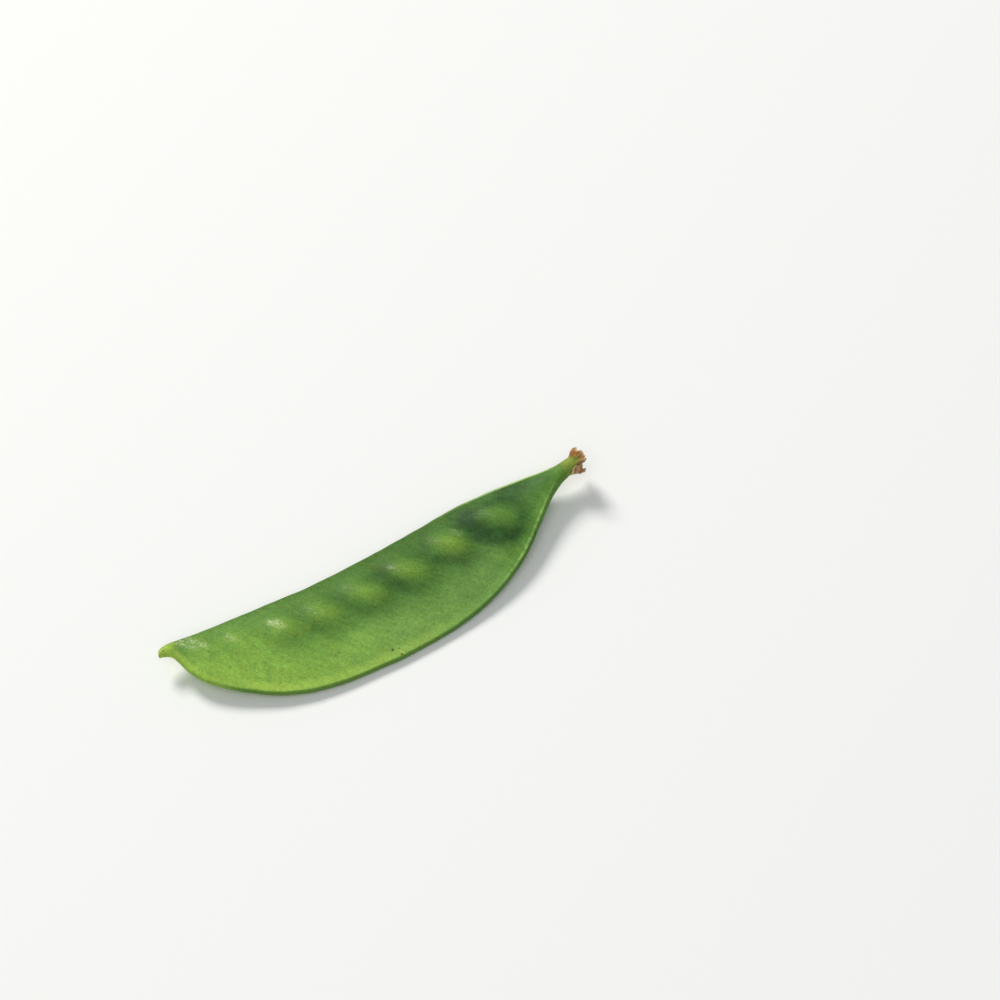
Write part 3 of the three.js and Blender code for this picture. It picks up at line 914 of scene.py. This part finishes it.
# %% Pod finish
def pod_finish():
    f = Finish("waxy_pod_skin")
    place = f.millimetres()
    along = f.mark("along")
    across = f.mark("across")
    from_straight = f.mark("from_straight")
    from_curved = f.mark("from_curved")
    swell = f.mark("swell")
    broad = f.noise(place, 9.0, detail=2) - 0.5
    upper = f.mark("upper")
    veinwards = along * VEINWARDS[0] + across * VEINWARDS[1]
    crosswise = along * CROSSWISE[0] + across * CROSSWISE[1]
    valve = upper * VALVES_APART
    slanted = f.vector(veinwards * 0.45, crosswise, valve)
    patchy = f.noise(slanted, 1.5, detail=4, roughness=0.6) - 0.5
    mottle = f.noise(place, MOTTLE_SIZE, detail=3, roughness=0.6) - 0.5
    speckle = f.noise(place, SPECKLE_SIZE, detail=2, roughness=0.7) - 0.5
    veined = f.vector(veinwards * 0.2, crosswise, valve)
    veins = f.noise(veined, 0.6, detail=2, roughness=0.6) - 0.5

    belly = f.ramp(from_curved + broad * 5, 13.5, 4.0) * f.ramp(from_straight + broad * 3, 1.5, 8.0)
    # Deeper towards the neck, partly the pod's own green and partly painted shade.
    towards_neck = f.ramp(along, 13.0, 76.0, kind="LINEAR")
    neck = f.ramp(along, 78.0, 87.0)
    high = f.ramp(from_straight, 8.0, 1.0) * f.ramp(along, 75.0, 20.0, 0.04, 0.34)
    # Painted light: lighter and yellower along the ridges and on the tops of the swellings.
    ridge = f.mark("ridge") * f.ramp(along, 10.0, 45.0, 0.6, 0.95)
    ridge = ridge * f.ramp(along, 60.0, 70.0, 1.0, 0.15)
    lit_crest = f.ramp(swell + patchy * 0.35, 0.1, 1.0) * f.ramp(along, 50.0, 72.0, 1.0, 0.1)
    # Painted shade in a band a few millimetres in from the straight seam, between the seeds.
    sunken_shade = f.ramp(from_straight, 2.0, 6.0) * f.ramp(along, 16.0, 30.0)
    sunken_shade = sunken_shade * f.ramp(along, 64.0, 46.0)
    tone_and_sunken_shade = (1 - belly) * (sunken_shade * 0.2 + 0.22)
    # Painted shade in the dips beside the seeds.
    dip_shade_depth = f.ramp(along, 42.0, 52.0, 0.25, 0.16) + f.ramp(along, 58.0, 66.0, 0.0, 0.09)
    dip = f.mark("dip") * dip_shade_depth
    depth = towards_neck * 0.66 + (tone_and_sunken_shade + high) * (1 - neck) + neck * 0.1
    depth = depth + dip - lit_crest * 0.05 - ridge * 0.16 + broad * 0.2 + patchy * 0.26
    colour = f.scale_of(depth, GREENS)

    hue = f.noise(place, 2.4, detail=3) - 0.5
    # Random yellow patches, and the painted light of the ridges as a yellower green.
    yellow_and_ridge_light = f.ramp(patchy + broad * 0.5, 0.0, 0.25) * f.ramp(along, 60.0, 25.0) * 0.25
    yellow_and_ridge_light = yellow_and_ridge_light.math("MAXIMUM", ridge * (patchy + 0.5) * 0.7)
    colour = f.mix(colour, LIT_RIDGE_YELLOW, yellow_and_ridge_light)
    olive = f.ramp(hue, 0.0, 0.18) * f.ramp(depth, 0.7, 0.3)
    colour = f.mix(colour, OLIVE, olive * 0.2)
    colour = f.mix(colour, COOL_GREEN, f.ramp(hue, 0.0, -0.18) * 0.22)
    pale_belly = belly * f.ramp(along, 22.0, 45.0) * f.ramp(along, 71.0, 63.0)
    colour = f.mix(colour, BELLY_PALE, pale_belly * 0.13)
    beak_side = f.ramp(from_curved, 1.7, 0.9) * f.ramp(from_curved, 0.1, 0.5)
    beak_side = beak_side * f.ramp(along, 10.0, 2.5)
    beak = f.ramp(along + patchy * 2, 4.0, 0.8).math("MAXIMUM", beak_side * 0.7)
    colour = f.mix(colour, BEAK_YELLOW, beak * 0.72)
    colour = f.mix(colour, BEAK_TIP_BROWN, f.ramp(along + mottle, -0.2, -0.75) * 0.6)

    # The seams: towards the neck, a pale line by the straight one, partly its own paler tissue
    # and partly painted highlight; a painted highlight line by the curved one; and painted shade
    # on the curved one's outermost edge.
    straight_width = f.ramp(along, 60.0, 85.0, 0.7, 0.95)
    # A pale line by the straight seam: partly its own paler tissue, partly a painted highlight.
    straight_pale_and_highlight = f.ramp(straight_width - from_straight - speckle * 0.9, 0.0, 0.4)
    straight_pale_and_highlight = straight_pale_and_highlight * f.ramp(from_straight + speckle * 0.5, 0.05, 0.3)
    straight_pale_and_highlight = straight_pale_and_highlight * f.ramp(along, 52.0, 78.0) * f.ramp(along, 89.0, 85.0)
    colour = f.mix(colour, STRAIGHT_SEAM_PALE_AND_HIGHLIGHT, straight_pale_and_highlight * 0.9)
    late = f.ramp(along, 58.0, 74.0) * f.ramp(along, 87.5, 83.0)
    # Painted highlight: a pale line just inside the curved seam, towards the neck.
    ragged_edge = from_curved + speckle * 0.5
    curved_highlight = f.ramp(ragged_edge, 0.3, 0.6) * f.ramp(ragged_edge, 1.1, 0.75)
    curved_highlight = curved_highlight * f.ramp(mottle, -0.1, 0.1, 0.4, 1.0)
    curved_highlight = curved_highlight * late * f.ramp(along, 76.0, 84.0, 0.55, 0.2)
    colour = f.mix(colour, CURVED_SEAM_HIGHLIGHT, curved_highlight)
    # A yellower band by the curved seam, its own tone, also lightened as painted light.
    curved_band_yellow_and_lit = f.ramp(from_curved + mottle, 2.8, 1.4) * f.ramp(along, 6.0, 16.0) * (1 - neck)
    colour = f.mix(colour, CURVED_SEAM_YELLOW, curved_band_yellow_and_lit * f.ramp(along, 60.0, 40.0) * 0.3)
    # Painted shade on the curved seam's outermost edge, where it rolls under.
    outermost_shade = f.ramp(from_curved + mottle * 0.15, 0.8, 0.2) * f.ramp(along, 5.0, 12.0, 0.1, 1.0)
    outermost_shade = outermost_shade * (1 - late * 0.3) * (1 - neck)
    colour = f.mix(colour, CURVED_SEAM_SHADE, outermost_shade * 0.75)
    straight_edge = f.ramp(from_straight, 0.9, 0.2) * f.ramp(along, 55.0, 75.0, 1.0, 0.0)
    # The last of the neck is the plain green that the calyx grew out of.
    colour = f.mix(colour, NECK_GREEN, f.ramp(along + patchy, *JOINING))
    fine = mottle * 0.55 + speckle * 1.0 + veins * f.ramp(along, 84.0, 80.0) * 0.45
    fine = fine * (1 - outermost_shade * 0.6)
    # Painted light on the shaded underside of the neck, by the curved seam.
    lower_neck_painted_light = f.ramp(from_curved, 2.6, 0.8) * f.ramp(along, 74.0, 81.0)
    lower_neck_painted_light = lower_neck_painted_light * f.ramp(along, 86.8, 83.0)
    brightness = curved_band_yellow_and_lit * 0.18 - straight_edge * 0.22 + lower_neck_painted_light * 0.26 + fine + 1
    colour = f.brighten(colour, brightness)
    uneven = mottle * 0.3 + speckle * 0.2
    for x, y, size, strength in BLEMISHES:
        distance = ((along - x) ** 2 + (across - y) ** 2) ** 0.5
        spot = f.ramp(distance + uneven, size * 1.4, size * 0.5)
        colour = f.mix(colour, SPOT_BROWN, spot * upper * strength)

    # Thin flakes of wax catch the light here and there; the skin between them is dull. The
    # flakes are also painted pale, partly as wax bloom and partly as a painted highlight.
    crackle = f.noise(place, 0.35, detail=3, roughness=0.65, distortion=1.0) - 0.5
    flaked_and_glinting = f.value(0.0)
    for x, y, size, strength in FLAKED_AND_GLINTING:
        down = veinwards - (x * VEINWARDS[0] + y * VEINWARDS[1])
        over = crosswise - (x * CROSSWISE[0] + y * CROSSWISE[1])
        distance = ((down * FLAKE_SHAPE[0]) ** 2 + (over * FLAKE_SHAPE[1]) ** 2) ** 0.5
        patch = f.ramp(distance + patchy * 2, size, size * 0.3)
        flaked_and_glinting = flaked_and_glinting.math("MAXIMUM", patch * strength)
    flaked_and_glinting = flaked_and_glinting * upper
    wax = f.ramp(crackle + patchy * 0.4 + flaked_and_glinting * 0.05, -0.03, 0.17)
    # Painted highlight where glints fall, partly pale wax bloom.
    colour = f.mix(colour, WAX_PALE_AND_GLINT, wax * flaked_and_glinting * 0.82)
    grain = f.bump(speckle, 0.02)
    lumpy = f.bump(mottle, 0.06, under=grain)
    flaky = f.bump(crackle * (flaked_and_glinting + 0.5), 0.08, under=lumpy)
    return f.surface(
        Base_Color=colour,
        Roughness=f.ramp(mottle + speckle * 0.6, -0.2, 0.2, 0.42, 0.58),
        Normal=flaky,
        IOR=1.4,
        Specular_IOR_Level=0.13,
        Subsurface_Weight=0.1,
        Subsurface_Radius=LEAF_SCATTER,
        Subsurface_Scale=0.001,
        Coat_Weight=wax * (flaked_and_glinting + f.ramp(along, 20.0, 60.0, 0.22, 0.06)) * 0.6,
        Coat_Roughness=0.15,
    )


pod_skin.data.materials.append(pod_finish())
print("pod finish:", len(pod_skin.data.materials[0].node_tree.nodes), "nodes")


# %% [markdown]
# ## The finish of the calyx and the stalk
#
# Both are dry plant tissue. The calyx is as green as the neck where it leaves it, turns reddish
# brown, and is straw-pale along its torn rim, with fine veins running out along the wall. The
# stalk is the colour of straw, with darker fibres.

# %% Calyx and stalk finishes
WILTING_GREEN = srgb(136, 152, 64)
DRY_BROWN = srgb(152, 102, 52)
CURLED_BROWN = srgb(174, 128, 84)
STREAK_BROWN = srgb(88, 46, 26)
STREAK_STRAW = srgb(222, 194, 142)
BLEACHED_STRAW = srgb(226, 206, 172)
RIM_STRAW = srgb(224, 206, 168)
STALK_STRAW = srgb(172, 148, 98)
FIBRE_BROWN = srgb(112, 86, 52)
STALK_GREEN = srgb(126, 132, 70)
STREAKS_ROUND = 7  # how fine the calyx's streaks are, round the neck


def calyx_finish():
    f = Finish("withered_calyx")
    place = f.millimetres()
    out = f.mark("out")
    curled_share = f.mark("curled")
    along_wall = out * 0.45 + f.mark("inner") * 4
    round_y = f.mark("round_y") * STREAKS_ROUND
    round_z = f.mark("round_z") * STREAKS_ROUND
    streak = f.noise(f.vector(round_y, round_z, along_wall), 1.0, detail=3, roughness=0.65) - 0.5
    blotch = f.noise(place, 0.8, detail=3) - 0.5
    speckle = f.noise(place, SPECKLE_SIZE, detail=2, roughness=0.7) - 0.5

    dry = f.mix(DRY_BROWN, CURLED_BROWN, curled_share)
    dry = f.mix(dry, STREAK_BROWN, f.ramp(streak, 0.0, 0.13) * (1 - curled_share * 0.6) * 0.85)
    dry = f.mix(dry, STREAK_STRAW, f.ramp(streak, -0.04, -0.16) * 0.75)
    bleached = f.ramp(speckle + blotch * 0.5, 0.02, 0.14) * curled_share
    dry = f.mix(dry, BLEACHED_STRAW, bleached * 0.9)
    rim = f.ramp(f.mark("to_rim") + streak * 0.6, -0.5, -0.05)
    dry = f.mix(dry, RIM_STRAW, rim * 0.7)
    fresh = f.mix(NECK_GREEN, WILTING_GREEN, f.ramp(out + blotch * 0.6, -2.8, 0.1))
    wilt = f.ramp(f.mark("past_green") + streak * 2.2 + blotch * 1.4, -0.6, 0.7)
    colour = f.mix(fresh, dry, wilt)
    mottle = f.noise(place, MOTTLE_SIZE, detail=3, roughness=0.6) - 0.5
    on_collar = f.ramp(out, -0.4, -1.2)
    fine = mottle * 0.55 + speckle * 1.0
    coarse = blotch * 0.5 + speckle * 0.5
    colour = f.brighten(colour, on_collar * fine + (1 - on_collar) * coarse + 1)
    fibres = f.bump(streak, 0.07)
    crumple = f.bump(blotch, 0.1, under=fibres)
    return f.surface(
        Base_Color=colour,
        Roughness=f.ramp(streak, -0.2, 0.2, 0.42, 0.66),
        Normal=crumple,
        IOR=1.4,
        Specular_IOR_Level=0.15,
        Subsurface_Weight=0.1,
        Subsurface_Radius=LEAF_SCATTER,
        Subsurface_Scale=0.0007,
    )


def stalk_finish():
    f = Finish("dry_stalk")
    place = f.millimetres()
    stretched = f.node(
        "ShaderNodeVectorMath", {"operation": "MULTIPLY"}, {0: place, 1: (0.6, 5.0, 5.0)}
    )
    fibre = f.noise(stretched, 1.0, detail=3, roughness=0.6)
    blotch = f.noise(place, 0.8, detail=2)
    colour = f.mix(STALK_STRAW, FIBRE_BROWN, f.ramp(fibre, 0.42, 0.7))
    colour = f.mix(colour, STALK_GREEN, f.ramp(blotch, 0.5, 0.75) * 0.4)
    return f.surface(
        Base_Color=colour,
        Roughness=f.ramp(fibre, 0.3, 0.7, 0.6, 0.85),
        Normal=f.bump(fibre, 0.06),
    )


calyx_bell.data.materials.append(calyx_finish())
stalk_stub.data.materials.append(stalk_finish())
print("calyx and stalk finished")


# %% [markdown]
# ## Floor, light and camera
#
# The pod lies on a plain pale floor. One large soft light stands high behind the straight seam,
# so that the seed swellings show by their lit shoulders and shaded feet. A wider, weaker one
# from the other side and a pale world fill the rest.

# %% Floor
FLOOR_COLOUR = srgb(244, 244, 242)
FLOOR_HALF = 1.5


def floor_finish():
    f = Finish("plain_pale_floor")
    return f.surface(Base_Color=FLOOR_COLOUR, Roughness=0.7)


CORNERS = [(-1, -1), (1, -1), (1, 1), (-1, 1)]
floor_mesh = bpy.data.meshes.new("floor")
floor_points = [(x * FLOOR_HALF, y * FLOOR_HALF, 0) for x, y in CORNERS]
floor_mesh.from_pydata(floor_points, [], [(0, 1, 2, 3)])
floor_mesh.materials.append(floor_finish())
floor = bpy.data.objects.new("floor", floor_mesh)
bpy.context.scene.collection.objects.link(floor)
print("floor", 2 * FLOOR_HALF, "m wide")


# %% Camera
CAMERA_AZIMUTH = math.radians(-28.6)
CAMERA_ELEVATION = math.radians(58)
CAMERA_DISTANCE = 0.5388
CAMERA_LENS = 100
# The aim, in millimetres in the flat pod's own x and y, and over the floor.
AIM_ON_POD = (70.99, -4.9)
AIM_HEIGHT = 11.89
AIM = Vector(((AIM_ON_POD[0] + shift[0]) * MM, (AIM_ON_POD[1] + shift[1]) * MM, AIM_HEIGHT * MM))


def looking_back(azimuth, elevation):
    """Unit vector from the aim towards a viewer at that azimuth and elevation."""
    return Vector((
        math.sin(azimuth) * math.cos(elevation),
        -math.cos(azimuth) * math.cos(elevation),
        math.sin(elevation),
    ))


camera = bpy.data.objects.new("camera", bpy.data.cameras.new("camera"))
camera.data.lens = CAMERA_LENS
camera.data.sensor_width = 36
camera.data.clip_start = 0.01
towards_camera = looking_back(CAMERA_AZIMUTH, CAMERA_ELEVATION)
camera.location = AIM + towards_camera * CAMERA_DISTANCE
camera.rotation_euler = towards_camera.to_track_quat("Z", "Y").to_euler()
bpy.context.scene.collection.objects.link(camera)
bpy.context.scene.camera = camera
print("camera at", tuple(round(c, 3) for c in camera.location))


# %% Light
LIGHT_DISTANCE = 3.0
SKY_COLOUR = (0.95, 0.98, 1.0, 1)
SKY_STRENGTH = 0.34


def soft_light(name, direction, size, watts, colour):
    """A round lamp that looks at the pod from a direction."""
    lamp = bpy.data.lights.new(name, "AREA")
    lamp.shape = "DISK"
    lamp.size = size
    lamp.energy = watts
    lamp.color = colour
    light = bpy.data.objects.new(name, lamp)
    light.location = Vector(direction).normalized() * LIGHT_DISTANCE
    light.rotation_euler = Vector(direction).to_track_quat("Z", "Y").to_euler()
    bpy.context.scene.collection.objects.link(light)


soft_light("key", direction=(-0.1, 0.76, 0.64), size=1.0, watts=72, colour=(1.0, 0.985, 0.95))
soft_light("fill", direction=(-0.3, -0.35, 0.88), size=2.4, watts=22, colour=(0.97, 0.99, 1.0))
world = bpy.data.worlds.new("studio")
world.use_nodes = True
sky = world.node_tree.nodes["Background"]
sky.inputs["Color"].default_value = SKY_COLOUR
sky.inputs["Strength"].default_value = SKY_STRENGTH
bpy.context.scene.world = world
bpy.context.scene.view_settings.view_transform = "Standard"
print("a key light, a fill light and a pale world")
